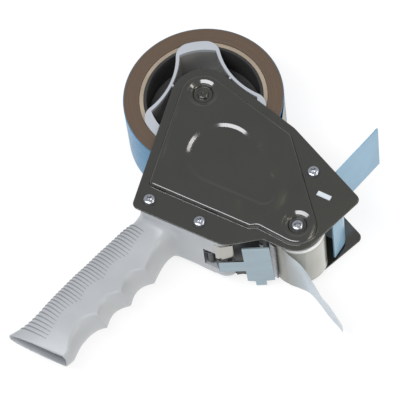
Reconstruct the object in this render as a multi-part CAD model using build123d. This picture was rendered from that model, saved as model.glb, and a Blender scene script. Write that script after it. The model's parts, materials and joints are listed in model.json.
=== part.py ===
"""Hand-held packing-tape dispenser with a pistol grip, built as separate pieces.

The gun lies on its far side plate. X runs to the front of the gun, Y up to the tape roll,
and Z is up, along the axles. All outlines are given in gun coordinates, with the hub axle at
x = 0, y = 0 and the middle plane between the side plates at z = 0. The last step moves every
piece so that the middle of the assembly's footprint is the origin and its lowest face is z = 0.
Millimetres throughout.
"""

from build123d import *
from math import acos, asin, atan2, cos, degrees, pi, radians, sin
import os

# ---------------------------------------------------------------- driving dimensions
TAPE_WIDTH = 45.0
ROLL_RADIUS = 51.2
CORE_OUTER = 40.9
CORE_INNER = 38.1

PLATE_GAP = 48.0          # between the inner faces of the side plates
SHEET = 1.0               # side plate steel
PANEL_RISE = 2.5          # how far the pressed panel stands out of the side plate
EGG_DEPTH = 1.5           # depth of the egg-shaped recess in the panel
DRAFT = 28.0              # slope of the pressed walls, from upright, in degrees

ROLLER = (45.6, -103.4)   # front roller axle
ROLLER_RADIUS = 16.7
ROLLER_HALF = 21.0
ROLLER_WALL = 1.9

HANDLE_SCREWS = [(-42.8, -70.0), (-14.0, -90.6)]
POST = (60.7, -67.3)      # spacer post behind the front edge
SLOT = (64.8, -85.4)      # slot for the flap carrier
SLOT_ANGLE = -36.5
SLOT_LENGTH = 9.4
SLOT_WIDTH = 3.3

HUB_DISH = 9.0            # radii of the round dishes pressed round the two axles
ROLLER_DISH = 10.2

INNER = PLATE_GAP / 2
OUTER = INNER + SHEET
PANEL_TOP = OUTER + PANEL_RISE
HALF_TAPE = TAPE_WIDTH / 2

SCREW_RADIUS = 1.95
SCREW_HOLE = 2.05
HEAD_RADIUS = 3.7
HEAD_HEIGHT = 2.1

AXLE_RADIUS = 3.0
RUNNING_GAP = 0.06        # radial clearance of what turns on an axle
CLEARANCE = 0.3

TAPE_SHEET = 0.3          # thickness given to the run of tape between roll and roller

GRIP_START = (-45.0, -85.0)
GRIP_ANGLE = 219.6        # direction of the grip, from the block to the butt
GRIP_WALL = 2.2

GUARD_PIVOT = (-9.5, -99.6)
GUARD_SHEET = 1.0
BLADE_ANGLE = -51.5
BLADE_TIP = (30.1, -114.0)
LEAF_HINGE = (68.9, -71.4)
LEAF_SHEET = 1.0
LEAF_HALF = 22.0

parts = {}


# ---------------------------------------------------------------- helpers
def rounded(corners):
    """Closed face through corners given as (x, y, corner radius)."""
    points = [(x, y) for x, y, r in corners]
    radii = [r for x, y, r in corners]
    return make_face(FilletPolyline(*points, radius=radii, close=True))


def inset(corners, amount):
    """The corners of an outline, listed against the clock or with it, moved inwards by amount."""
    count = len(corners)
    points = [Vector(x, y) for x, y, r in corners]
    area = sum(points[i - 1].cross(points[i]).Z for i in range(count))
    side = 1 if area > 0 else -1
    moved = []
    for i, (x, y, radius) in enumerate(corners):
        before = (points[i] - points[i - 1]).normalized()
        after = (points[(i + 1) % count] - points[i]).normalized()
        turn = before.cross(after).Z * side
        corner = (after - before) * (amount / abs(turn)) if turn else Vector()
        corner *= 1 if turn > 0 else -1
        moved.append((x + corner.X, y + corner.Y, radius - amount if turn > 0 else radius + amount))
    return moved


def slab(face, low, high, taper=0.0):
    """The face, extruded from z = low to z = high. The taper narrows it towards high."""
    return extrude(Pos(0, 0, low) * face, amount=high - low, taper=taper)


def pressing(face, top, depth):
    """The space that a punch takes: the face at z = top, narrowing down by the depth."""
    return extrude(Pos(0, 0, top) * face, amount=-depth, taper=DRAFT)


def disc(centre, radius, low, high, hole=0.0):
    """Round slab on an axis along Z, with a hole through it."""
    face = Circle(radius) - Circle(hole) if hole else Circle(radius)
    return slab(Pos(*centre) * face, low, high)


def strip(path, thickness, low, high):
    """A sheet of the given thickness, bent along a path in XY, from z = low to z = high."""
    return slab(trace(path, thickness), low, high)


def mirrored(piece):
    return mirror(piece, about=Plane.XY)


def polar(radius, angle):
    return (radius * cos(radians(angle)), radius * sin(radians(angle)))


# ---------------------------------------------------------------- side plates
PLATE_OUTLINE = [(-54.4, -72.8, 4.5), (-1.9, -109.6, 10), (23.3, -109.4, 3), (44.2, -124.4, 16),
                 (87.1, -92.0, 4.5), (53.7, -33.9, 14), (-5.8, 37.3, 20.5)]
PANEL_OUTLINE = [(-42.6, -59.6, 4), (15.6, -100.6, 3), (20.7, -100.9, 4), (60.8, -134.9, 13),
                 (51.1, -38.8, 6), (-4.4, 27.2, 15)]
FAR_PLATE_OUTLINE = [(-54.4, -67.5, 4.5), (-6.5, -103.4, 8), (24.5, -103.4, 3),
                     (44.2, -121.0, 15.5)] + PLATE_OUTLINE[4:]
FAR_PANEL_OUTLINE = PANEL_OUTLINE[:3] + [(60.2, -132.6, 13)] + PANEL_OUTLINE[4:]
EGG_CIRCLES = [((5.8, -46.0), 22.4), ((28.0, -78.9), 8.2)]


def egg(grow=0.0):
    """Outline of the egg-shaped recess: two circles and their outer tangents."""
    (big, big_radius), (small, small_radius) = EGG_CIRCLES
    big_radius += grow
    small_radius += grow
    run = Vector(*small) - Vector(*big)
    along = degrees(atan2(run.Y, run.X))
    half = degrees(acos((big_radius - small_radius) / run.length))
    ends = [Vector(*c) + Vector(*polar(r, along + side * half)) for side in (1, -1)
            for c, r in ((big, big_radius), (small, small_radius))]
    rims = [CenterArc(big, big_radius, along + half, 360 - 2 * half),
            CenterArc(small, small_radius, along - half, 2 * half)]
    return make_face(rims + [Line(ends[0], ends[1]), Line(ends[2], ends[3])])


def side_plate(plate_corners, panel_corners):
    """Stamped steel side plate on the +Z side, with its panel pressed outwards."""
    outline = rounded(plate_corners)
    panel = rounded(panel_corners)
    dishes = [((0, 0), HUB_DISH), (ROLLER, ROLLER_DISH)]
    under = PANEL_TOP - SHEET
    body = slab(outline, INNER, OUTER) + slab(panel, OUTER, PANEL_TOP, DRAFT)
    hollow = slab(rounded(inset(panel_corners, SHEET)), INNER, under, DRAFT)
    for centre, radius in dishes:
        body -= pressing(Pos(*centre) * Circle(radius), PANEL_TOP, PANEL_RISE)
        hollow -= pressing(Pos(*centre) * Circle(radius + SHEET), under, PANEL_RISE)
    body -= pressing(egg(), PANEL_TOP, EGG_DEPTH)
    hollow -= pressing(egg(SHEET), under, EGG_DEPTH)
    body -= hollow
    body -= disc((0, 0), AXLE_RADIUS + CLEARANCE, INNER - 1, PANEL_TOP + 1)
    for hole in HANDLE_SCREWS + [ROLLER, POST]:
        body -= disc(hole, SCREW_HOLE, INNER - 1, PANEL_TOP + 1)
    slot = Pos(*SLOT) * Rot(0, 0, SLOT_ANGLE) * Rectangle(SLOT_LENGTH, SLOT_WIDTH)
    return body - slab(slot, INNER - 1, OUTER + 1)


parts["near_side_plate"] = side_plate(PLATE_OUTLINE, PANEL_OUTLINE)
parts["far_side_plate"] = mirrored(side_plate(FAR_PLATE_OUTLINE, FAR_PANEL_OUTLINE))


# ---------------------------------------------------------------- fasteners
def pan_screw(centre, floor, length):
    """Pan-head screw on the +Z side, with a cross recess, its head standing on z = floor."""
    head = disc(centre, HEAD_RADIUS, floor, floor + HEAD_HEIGHT)
    head = fillet(head.edges().group_by(Axis.Z)[-1], HEAD_HEIGHT * 0.55)
    arm = Rectangle(HEAD_RADIUS * 1.05, 0.9) + Rectangle(0.9, HEAD_RADIUS * 1.05)
    recess = slab(Pos(*centre) * Rot(0, 0, 20) * arm, floor + 0.8, floor + HEAD_HEIGHT + 1)
    return head + disc(centre, SCREW_RADIUS, floor - length, floor) - recess


HANDLE_SCREW_LENGTH = 14.0
POST_SCREW_LENGTH = 9.0

near_screws = [pan_screw(centre, OUTER, HANDLE_SCREW_LENGTH) for centre in HANDLE_SCREWS]
near_screws += [pan_screw(centre, OUTER, POST_SCREW_LENGTH) for centre in (ROLLER, POST)]
parts["near_screws"] = Compound(children=near_screws)
parts["far_screws"] = Compound(children=[mirrored(screw) for screw in near_screws])


# ---------------------------------------------------------------- spacer post
POST_RADIUS = 4.0
parts["spacer_post"] = disc(POST, POST_RADIUS, -INNER, INNER, hole=SCREW_HOLE)


# ---------------------------------------------------------------- hub
LOBE_ANGLES = (89, 209, 329)
LOBE_HALF_ANGLE = 20
LOBE_RADIUS = 36.2        # outer face of the lobes' shells, inside the drum
WAIST_RADIUS = 23.6       # nearest approach of the hollow walls to the axle
WALL = 1.8
DRUM_OUTER = CORE_INNER - 0.1
DRUM_INNER = 36.3
BOSS_RADIUS = 7.5
BOSS_HALF = 18.5
WEB = 2.0
RIM_LOW = HALF_TAPE - 1.5
RIM_TOP = HALF_TAPE + 1.2
PAD_RADIUS = 40.8
PAD_ROUNDING = 9.5


def lobed(radius, waist):
    """Three-lobed face: arcs on the lobes, hollow walls between them."""
    edges = []
    for i, angle in enumerate(LOBE_ANGLES):
        start = polar(radius, angle - LOBE_HALF_ANGLE)
        end = polar(radius, angle + LOBE_HALF_ANGLE)
        following = polar(radius, angle + 120 - LOBE_HALF_ANGLE)
        edges.append(ThreePointArc(start, polar(radius, angle), end))
        edges.append(ThreePointArc(end, polar(waist, angle + 60), following))
    return make_face(edges)


def hub_wall():
    """Three-lobed wall between the hub's disc and its rim, on the +Z side."""
    outer = lobed(LOBE_RADIUS, WAIST_RADIUS)
    inner = lobed(LOBE_RADIUS - WALL, WAIST_RADIUS - WALL)
    return slab(outer - inner, WEB / 2, RIM_LOW)


def hub_disc():
    """Disc across the sleeve, with the boss that turns on the bolt."""
    body = disc((0, 0), DRUM_INNER, -WEB / 2, WEB / 2)
    body += disc((0, 0), BOSS_RADIUS, -BOSS_HALF, BOSS_HALF)
    return body - disc((0, 0), AXLE_RADIUS + RUNNING_GAP, -BOSS_HALF - 1, BOSS_HALF + 1)


def hub_rim():
    """White rim on the +Z end of the three-lobed wall. Its rounded pads overlap the core's end."""
    inner = lobed(LOBE_RADIUS - WALL, WAIST_RADIUS - WALL)
    pads = lobed(PAD_RADIUS, WAIST_RADIUS)
    pads = fillet(pads.vertices(), PAD_ROUNDING) - inner
    body = slab(lobed(LOBE_RADIUS, WAIST_RADIUS) - inner, RIM_LOW, RIM_TOP)
    body += slab(pads, HALF_TAPE + 0.05, RIM_TOP)
    for angle in LOBE_ANGLES:
        lug = polar(WAIST_RADIUS - WALL - 0.5, angle + 60)
        body += disc(lug, 0.8, RIM_LOW, RIM_TOP)
    return body


wall = hub_wall()
rim = hub_rim()
parts["hub_sleeve"] = disc((0, 0), DRUM_OUTER, -HALF_TAPE, HALF_TAPE, hole=DRUM_INNER)
parts["hub_disc"] = hub_disc()
parts["hub_wall_near"] = wall
parts["hub_wall_far"] = mirrored(wall)
parts["hub_rim_near"] = rim
parts["hub_rim_far"] = mirrored(rim)

parts["tape_core"] = disc((0, 0), CORE_OUTER, -HALF_TAPE, HALF_TAPE, hole=CORE_INNER)
parts["tape_roll"] = disc((0, 0), ROLL_RADIUS, -HALF_TAPE, HALF_TAPE, hole=CORE_OUTER)

BOLT_HEAD_RADIUS = 3.6
BOLT_HEAD = 1.9
NUT_ACROSS = 10.0
NUT_HEIGHT = 2.2
WASHER = 1.2


def hub_bolt():
    """Shoulder bolt that carries the hub: domed head in the near dish, thread at the far end."""
    head = disc((0, 0), BOLT_HEAD_RADIUS, OUTER, OUTER + BOLT_HEAD)
    head = fillet(head.edges().group_by(Axis.Z)[-1], BOLT_HEAD * 0.6)
    socket = slab(RegularPolygon(1.3, 6), OUTER + 0.9, OUTER + BOLT_HEAD + 1)
    return head - socket + disc((0, 0), AXLE_RADIUS, -OUTER - NUT_HEIGHT, OUTER)


nut = slab(RegularPolygon(NUT_ACROSS / 2, 6, major_radius=False), -OUTER - NUT_HEIGHT, -OUTER)
parts["hub_bolt"] = hub_bolt()
parts["hub_nut"] = nut - disc((0, 0), AXLE_RADIUS, -OUTER - NUT_HEIGHT - 1, -OUTER + 1)
parts["hub_spacer"] = disc((0, 0), 5.5, BOSS_HALF + 0.1, INNER, hole=AXLE_RADIUS)
parts["friction_washer"] = disc((0, 0), 8.5, -BOSS_HALF - WASHER, -BOSS_HALF - 0.1,
                                hole=AXLE_RADIUS)
parts["pressure_washer"] = disc((0, 0), 8.0, -BOSS_HALF - 2 * WASHER, -BOSS_HALF - WASHER,
                                hole=AXLE_RADIUS)


def coil_spring(centre, radius, wire, low, high, turns):
    """Compression spring round an axle, as one swept helix."""
    helix = Helix(pitch=(high - low - wire) / turns, height=high - low - wire, radius=radius)
    helix = Pos(centre[0], centre[1], low + wire / 2) * helix
    profile = Plane(origin=helix @ 0, z_dir=helix % 0) * Circle(wire / 2)
    return sweep(profile, path=helix)


parts["brake_spring"] = coil_spring((0, 0), 5.0, 0.8, -INNER + 0.02,
                                    -BOSS_HALF - 2 * WASHER - 0.02, 2)


# ---------------------------------------------------------------- front roller
BUSH_OUTER = 4.5
HUB_CAP_LOW = ROLLER_HALF - 6.0
HUB_CAP_HIGH = ROLLER_HALF - 2.0


def roller_end():
    """Spoked end that centres the roller tube on its bush, on the +Z side."""
    body = disc(ROLLER, ROLLER_RADIUS - ROLLER_WALL, HUB_CAP_LOW, HUB_CAP_HIGH, hole=BUSH_OUTER)
    for angle in range(0, 360, 60):
        dx, dy = polar(10.0, angle)
        body -= disc((ROLLER[0] + dx, ROLLER[1] + dy), 2.6, HUB_CAP_LOW - 1, HUB_CAP_HIGH + 1)
    return body


roller_cap = roller_end()
roller_bush = disc(ROLLER, BUSH_OUTER, HUB_CAP_LOW - 1.5, ROLLER_HALF,
                   hole=AXLE_RADIUS + RUNNING_GAP)
parts["roller_tube"] = disc(ROLLER, ROLLER_RADIUS, -ROLLER_HALF, ROLLER_HALF,
                            hole=ROLLER_RADIUS - ROLLER_WALL)
parts["roller_end_near"] = roller_cap
parts["roller_end_far"] = mirrored(roller_cap)
parts["roller_bushes"] = Compound(children=[roller_bush, mirrored(roller_bush)])
parts["roller_axle"] = disc(ROLLER, AXLE_RADIUS, -INNER, INNER, hole=SCREW_HOLE)
collar = disc(ROLLER, 5.0, ROLLER_HALF + 0.15, INNER, hole=AXLE_RADIUS)
parts["roller_spacers"] = Compound(children=[collar, mirrored(collar)])


# ---------------------------------------------------------------- handle
NOSE = 4.6                # front face of the block
BLOCK_OUTLINE = [(-46.3, -62.0, 5), (-19.0, -75.5, 8), (NOSE, -93.5, 3), (NOSE, -108.4, 3.5),
                 (-3.6, -108.7, 7), (-50.5, -76.0, 4)]
GRIP_ROWS = [             # distance along the grip, front edge, back edge, half width
    (-9, -15.5, 16.6, 20.5), (1, -14.8, 14.8, 17.0), (10, -15.3, 16.2, 15.0),
    (20, -18.0, 16.9, 14.2), (29, -15.7, 17.0, 14.0), (39, -18.1, 17.2, 13.8),
    (49, -15.7, 17.4, 13.6), (60, -17.9, 17.5, 13.4), (74, -15.7, 17.1, 12.8),
    (86, -18.0, 16.8, 11.4), (94, -19.4, 18.2, 9.8), (102, -20.2, 21.3, 8.0)]
GRIP_POWER = 2.5
BUTT_LEAN = 15.5          # the open butt leans this far from square
BUTT_START = 80.0         # where the sections start to lean over to it
CAVITY_ROWS = GRIP_ROWS[-4:]
CAVITY_OVERRUN = 8.0


def grip_plane(distance, lean=0.0):
    """Plane across the grip: X towards the back edge, Y towards -Z, normal along the grip."""
    along = Vector(*polar(1, GRIP_ANGLE))
    origin = Vector(*GRIP_START) + along * distance
    back = Vector(*polar(1, GRIP_ANGLE - 90 + lean))
    return Plane(origin=origin, x_dir=back, z_dir=Vector(*polar(1, GRIP_ANGLE + lean)))


def grip_section(row, shrink=0.0, shift=0.0):
    """Rounded section of the grip at a row of the table."""
    distance, front, back, half = row
    middle = (front + back) / 2
    reach = (back - front) / 2 - shrink
    lean = BUTT_LEAN * max(0.0, distance - BUTT_START) / (GRIP_ROWS[-1][0] - BUTT_START)
    points = []
    for k in range(20):
        c, s = cos(2 * pi * k / 20), sin(2 * pi * k / 20)
        x = middle + reach * abs(c) ** (2 / GRIP_POWER) * (1 if c > 0 else -1)
        y = (half - shrink) * abs(s) ** (2 / GRIP_POWER) * (1 if s > 0 else -1)
        points.append((x, y))
    return grip_plane(distance + shift, lean) * make_face(Spline(*points, periodic=True))


def handle():
    """Moulded handle: block between the side plates, finger grip and open butt."""
    block = slab(rounded(BLOCK_OUTLINE), -INNER, INNER)
    grip = loft([grip_section(row) for row in GRIP_ROWS])
    sections = [grip_section(row, GRIP_WALL) for row in CAVITY_ROWS]
    sections.append(grip_section(CAVITY_ROWS[-1], GRIP_WALL, CAVITY_OVERRUN))
    body = block + grip - loft(sections)
    for centre in HANDLE_SCREWS:
        for low, high in ((INNER - HANDLE_SCREW_LENGTH - 1, INNER + 1),
                          (-INNER - 1, HANDLE_SCREW_LENGTH + 1 - INNER)):
            body -= disc(centre, SCREW_HOLE, low, high)
    return body


POCKET = (-14.2, -4.2, -9.5, 9.5)       # x from, x to, z from, z to
POCKET_TOP = -95.6
pocket = Box(POCKET[1] - POCKET[0], 20, POCKET[3] - POCKET[2],
             align=(Align.MIN, Align.MAX, Align.MIN))
pocket = Pos(POCKET[0], POCKET_TOP, POCKET[2]) * pocket
PIN_RADIUS = 1.5
PIN_HALF = 15.0
pin_hole = disc(GUARD_PIVOT, PIN_RADIUS + 0.02, -PIN_HALF - 0.1, PIN_HALF + 0.1)
parts["handle"] = handle() - pocket - pin_hole
parts["guard_pin"] = disc(GUARD_PIVOT, PIN_RADIUS, -PIN_HALF, PIN_HALF)


# ---------------------------------------------------------------- blade and its holder
HOLDER_SHEET = 1.5
HOLDER_HALF = 23.5
BLADE_SHEET = 0.6
BLADE_WIDTH = 14.0
BLADE_HALF = 20.5
TOOTH_PITCH = 1.64
TOOTH_DEPTH = 1.4
TEETH = int(2 * BLADE_HALF / TOOTH_PITCH)


def blade_plane(height):
    """Plane of the blade sheet: X down the blade to its teeth, Y along Z, at a height off it."""
    down = Vector(*polar(1, BLADE_ANGLE))
    normal = Vector(*polar(1, BLADE_ANGLE - 90))
    return Plane(origin=Vector(*BLADE_TIP) + normal * height, x_dir=down, z_dir=normal)


def blade():
    """Serrated steel strip, its teeth on the edge beside the roller."""
    points = [(-BLADE_WIDTH, -BLADE_HALF), (-BLADE_WIDTH, BLADE_HALF)]
    for k in range(TEETH):
        root = BLADE_HALF - k * TOOTH_PITCH
        points += [(-TOOTH_DEPTH, root), (0, root - TOOTH_PITCH / 2)]
    points.append((-TOOTH_DEPTH, -BLADE_HALF))
    face = make_face(Polyline(*points, close=True))
    return extrude(blade_plane(-BLADE_SHEET / 2) * face, BLADE_SHEET)


HOLDER_REACH = 6.5        # the holder's flange ends this far above the teeth
RIVETS = (-12.0, 12.0)
RIVET_HEIGHT = 10.0       # distance of the rivets above the teeth
RIVET_RADIUS = 1.3
HOLDER_SCREWS = (-14.0, 14.0)
HOLDER_SCREW_Y = -99.5
flange = (BLADE_SHEET + HOLDER_SHEET) / 2


def blade_rivet(height):
    """Rivet through the blade and the holder's flange at a height along Z."""
    plane = blade_plane(0) * Pos(-RIVET_HEIGHT, height, 0)
    shank = plane * Cylinder(RIVET_RADIUS, 2 * flange + 0.9)
    return shank + plane * Pos(0, 0, flange + HOLDER_SHEET / 2 + 0.3) * Cylinder(2.2, 0.6)


def holder_screw(height):
    """Small pan-head screw along X that holds the blade holder to the nose of the block."""
    place = Pos(NOSE + HOLDER_SHEET, HOLDER_SCREW_Y, height) * Rot(0, 90, 0)
    head = Cylinder(2.6, 1.6, align=(Align.CENTER, Align.CENTER, Align.MIN))
    shank = Cylinder(1.5, 9.0, align=(Align.CENTER, Align.CENTER, Align.MAX))
    return place * (fillet(head.edges().group_by(Axis.Z)[-1], 0.8) + shank)


def along_x(radius, height, low, high):
    place = Pos(low, HOLDER_SCREW_Y, height) * Rot(0, 90, 0)
    return place * Cylinder(radius, high - low, align=(Align.CENTER, Align.CENTER, Align.MIN))


back = Vector(*polar(flange, BLADE_ANGLE - 90))
foot = Vector(*BLADE_TIP) + back - Vector(*polar(HOLDER_REACH, BLADE_ANGLE))
shelf = -104.6
knee = foot - Vector(*polar((shelf - foot.Y) / sin(radians(-BLADE_ANGLE)), BLADE_ANGLE))
leg = NOSE + HOLDER_SHEET / 2
holder_path = Polyline((leg, -95.0), (leg, shelf), (knee.X, knee.Y), (foot.X, foot.Y))
holder = strip(holder_path, HOLDER_SHEET, -HOLDER_HALF, HOLDER_HALF)
cutter = blade()
for height in RIVETS:
    hole = blade_plane(0) * Pos(-RIVET_HEIGHT, height, 0) * Cylinder(RIVET_RADIUS, 6)
    holder -= hole
    cutter -= hole
for height in HOLDER_SCREWS:
    holder -= along_x(1.55, height, NOSE - 1, NOSE + 3)
    parts["handle"] -= along_x(1.55, height, NOSE - 9.5, NOSE + 1)
parts["blade_holder"] = holder
parts["blade"] = cutter
parts["blade_rivets"] = Compound(children=[blade_rivet(height) for height in RIVETS])
parts["holder_screws"] = Compound(children=[holder_screw(height) for height in HOLDER_SCREWS])


# ---------------------------------------------------------------- blade guard and its spring
GUARD_HALF = 20.5
ARM = (-7.5, 4.5)         # the arm's width, along Z
GUARD_END = (26.9, -113.3)
GUARD_NECK = (9.9, -111.3)
GUARD_HEEL = (-5.4, -109.7)
EYE_RADIUS = 2.9
STOP = (18.3, 24.9)       # the tab that meets the far plate's lower edge, along X


def guard_y(x):
    """Height of the guard's face at x."""
    share = (x - GUARD_NECK[0]) / (GUARD_END[0] - GUARD_NECK[0])
    return GUARD_NECK[1] + share * (GUARD_END[1] - GUARD_NECK[1])


def blade_guard():
    """Zinc-plated guard: face under the blade, arm, and eye on its pin inside the block."""
    face = strip(Polyline(GUARD_NECK, GUARD_END), GUARD_SHEET, -GUARD_HALF, GUARD_HALF)
    ends = [(x, guard_y(x)) for x in STOP]
    face += strip(Polyline(*ends), GUARD_SHEET, -OUTER - 0.8, -GUARD_HALF + 1)
    fold = (GUARD_PIVOT[0] + 2.2, GUARD_PIVOT[1] - 0.6)
    body = face + strip(Polyline(GUARD_END, GUARD_NECK, GUARD_HEEL, fold), GUARD_SHEET, *ARM)
    body += disc(GUARD_PIVOT, EYE_RADIUS, *ARM)
    return body - disc(GUARD_PIVOT, PIN_RADIUS + RUNNING_GAP, ARM[0] - 1, ARM[1] + 1)


SPRING_SHEET = 0.5
SPRING_SPAN = (5.5, 22.0)
SPRING_PATH = [(NOSE - SPRING_SHEET / 2, -96.5), (NOSE - SPRING_SHEET / 2, -108.9),
               (-3.5, -109.1), (-7.0, -106.7)]


def guard_spring():
    """Bright leaf spring folded round the nose of the block, with a finger over the arm."""
    path = FilletPolyline(*SPRING_PATH, radius=[1.2, 3.0])
    body = strip(path, SPRING_SHEET, *SPRING_SPAN)
    finger = Polyline((3.0, SPRING_PATH[1][1]), (0.0, SPRING_PATH[1][1]))
    body += strip(finger, SPRING_SHEET * 0.8, 0.5, SPRING_SPAN[0] + 1)
    return body - along_x(1.6, HOLDER_SCREWS[1], NOSE - 3, NOSE + 1)


seat = Box(SPRING_SHEET, 16, SPRING_SPAN[1] - SPRING_SPAN[0] + 0.4,
           align=(Align.MAX, Align.MAX, Align.MIN))
parts["handle"] -= Pos(NOSE, SPRING_PATH[0][1] + 0.2, SPRING_SPAN[0] - 0.2) * seat
parts["blade_guard"] = blade_guard()
parts["guard_spring"] = guard_spring()


# ---------------------------------------------------------------- front flap and its carrier
FLAP_PATH = [(105.0, -41.2), (72.4, -70.2), (75.6, -93.5), (66.9, -104.2)]
HEM = 1.6
KNUCKLE_RADIUS = 2.6
KNUCKLE_ROOT = (73.6, -72.6)   # inside the flap's bend
KNUCKLES = (5.5, 17.0)
LUGS = (17.4, 20.6)
LUG_RADIUS = 2.2
FLAP_PIN_HALF = 20.8
bar = Pos(*SLOT) * Rot(0, 0, SLOT_ANGLE) * Rectangle(SLOT_LENGTH - 0.2, SLOT_WIDTH - 0.2)


def front_flap():
    """Bent plastic flap in front of the roller, with knuckles on its hinge pin."""
    body = strip(FilletPolyline(*FLAP_PATH, radius=[3, 9]), LEAF_SHEET, -LEAF_HALF, LEAF_HALF)
    body += disc(FLAP_PATH[0], HEM / 2, -LEAF_HALF, LEAF_HALF)
    for low, high in (KNUCKLES, (-KNUCKLES[1], -KNUCKLES[0])):
        body += disc(LEAF_HINGE, KNUCKLE_RADIUS, low, high)
        body += strip(Polyline(LEAF_HINGE, KNUCKLE_ROOT), KNUCKLE_RADIUS, low, high)
    return body - disc(LEAF_HINGE, PIN_RADIUS + RUNNING_GAP, -LEAF_HALF - 1, LEAF_HALF + 1)


def flap_carrier():
    """Bar keyed into both side plates, with two lugs that hold the flap's pin."""
    body = slab(bar, -OUTER - 0.6, OUTER + 0.6)
    for low, high in (LUGS, (-LUGS[1], -LUGS[0])):
        body += strip(Polyline(SLOT, LEAF_HINGE), 2 * LUG_RADIUS, low, high)
        body += disc(LEAF_HINGE, LUG_RADIUS, low, high)
    return body - disc(LEAF_HINGE, PIN_RADIUS, -LEAF_HALF, LEAF_HALF)


parts["front_flap"] = front_flap()
parts["flap_carrier"] = flap_carrier()
parts["flap_pin"] = disc(LEAF_HINGE, PIN_RADIUS, -FLAP_PIN_HALF, FLAP_PIN_HALF)
parts["flap_spring"] = coil_spring(LEAF_HINGE, 1.85, 0.45, -5.0, 5.0, 6)


# ---------------------------------------------------------------- threaded tape
TAPE_GAP = CLEARANCE + TAPE_SHEET / 2
LEAVE_ANGLE = 222.0       # where the tape leaves the roller, round the roller's axle
TAIL_ROWS = [             # middle of the tape, and how far its width has turned from Z
    ((41.0, -124.5, 0.0), -6), ((47.6, -135.0, -1.0), -18), ((53.5, -147.0, -4.0), -32),
    ((62.0, -160.0, -8.0), -40)]


def threaded_tape():
    """Run of tape from the right of the roll, across to the left of the roller and round it."""
    roll, roller = ROLL_RADIUS + TAPE_GAP, ROLLER_RADIUS + TAPE_GAP
    span = Vector(*ROLLER)
    start = degrees(atan2(span.Y, span.X)) + 90 - degrees(asin((roll + roller) / span.length))
    off = Vector(*polar(roll, start))
    on = span - Vector(*polar(roller, start))
    run = Line((off.X, off.Y), (on.X, on.Y))
    wrap = CenterArc(ROLLER, roller, start + 180, LEAVE_ANGLE - start - 180)
    return strip(run + wrap, TAPE_SHEET, -HALF_TAPE, HALF_TAPE)


def tape_tail():
    """Free end of the tape, twisting as it droops."""
    dx, dy = polar(ROLLER_RADIUS + TAPE_GAP, LEAVE_ANGLE)
    rows = [((ROLLER[0] + dx, ROLLER[1] + dy, 0.0), 0)] + TAIL_ROWS
    sections = []
    for i, (point, turn) in enumerate(rows):
        before = rows[max(i - 1, 0)][0]
        after = rows[min(i + 1, len(rows) - 1)][0]
        ahead = Vector(after[0] - before[0], after[1] - before[1]).normalized()
        if i == 0:
            ahead = Vector(*polar(1, LEAVE_ANGLE + 90))
        width = Vector(0, sin(radians(turn)), cos(radians(turn)))
        plane = Plane(origin=point, x_dir=width, z_dir=width.cross(ahead.cross(width)))
        sections.append(plane * Rectangle(TAPE_WIDTH, TAPE_SHEET))
    return loft(sections, ruled=True)


parts["threaded_tape"] = threaded_tape()
parts["tape_tail"] = tape_tail()


# ---------------------------------------------------------------- row frame
boxes = [piece.bounding_box() for piece in parts.values()]
low = Vector(*[min(getattr(box.min, axis) for box in boxes) for axis in "XYZ"])
high = Vector(*[max(getattr(box.max, axis) for box in boxes) for axis in "XYZ"])
SHIFT = Vector(-(low.X + high.X) / 2, -(low.Y + high.Y) / 2, -low.Z)


if __name__ == "__main__":
    os.makedirs("parts", exist_ok=True)
    print("shift from gun coordinates", SHIFT)
    for name, piece in parts.items():
        placed = piece.moved(Location(SHIFT))
        export_step(placed, f"parts/{name}.step")
        print(name, round(sum(solid.volume for solid in placed.solids())),
              all(solid.is_valid for solid in placed.solids()))
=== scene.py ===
"""Looks of the pistol-grip packing-tape dispenser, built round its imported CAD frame.

Outlines are in gun coordinates, in millimetres: the hub's axle is at x = 0, y = 0, and z = 0 is
the middle plane between the side plates. GUN turns them into the frame's metres.
"""
import json
import random
from math import acos, asin, atan2, cos, pi, radians, sin, tan

import bmesh
import bpy
from mathutils import Matrix, Vector
from mathutils.geometry import delaunay_2d_cdt


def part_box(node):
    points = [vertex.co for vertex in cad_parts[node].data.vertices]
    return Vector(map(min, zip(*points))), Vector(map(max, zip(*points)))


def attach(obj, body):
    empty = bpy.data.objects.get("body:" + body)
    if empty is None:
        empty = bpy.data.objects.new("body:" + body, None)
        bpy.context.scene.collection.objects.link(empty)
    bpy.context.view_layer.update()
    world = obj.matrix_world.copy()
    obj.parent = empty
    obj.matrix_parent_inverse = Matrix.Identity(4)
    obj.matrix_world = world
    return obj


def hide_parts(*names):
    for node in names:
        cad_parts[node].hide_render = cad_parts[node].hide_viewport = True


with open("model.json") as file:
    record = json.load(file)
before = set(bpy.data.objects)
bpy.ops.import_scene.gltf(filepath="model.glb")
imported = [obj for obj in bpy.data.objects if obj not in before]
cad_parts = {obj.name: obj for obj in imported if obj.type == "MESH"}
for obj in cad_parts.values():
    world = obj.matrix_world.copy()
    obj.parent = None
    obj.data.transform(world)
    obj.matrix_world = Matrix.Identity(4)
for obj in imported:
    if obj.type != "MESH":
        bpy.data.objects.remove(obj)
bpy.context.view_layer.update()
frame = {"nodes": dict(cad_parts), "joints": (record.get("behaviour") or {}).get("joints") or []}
random.seed(11)

MM = 0.001
joints = {joint["name"]: joint for joint in frame["joints"]}
post_low, post_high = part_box("spacer_post")
hub_axle = joints["hub_spin"]["pos_m"]
CENTRE = Vector((hub_axle[0], hub_axle[1], (post_low[2] + post_high[2]) / 2))
GUN = Matrix.Translation(CENTRE) @ Matrix.Scale(MM, 4)


def to_gun(point):
    """A point of the frame, in gun coordinates."""
    return (Vector(point) - CENTRE) / MM


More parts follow.
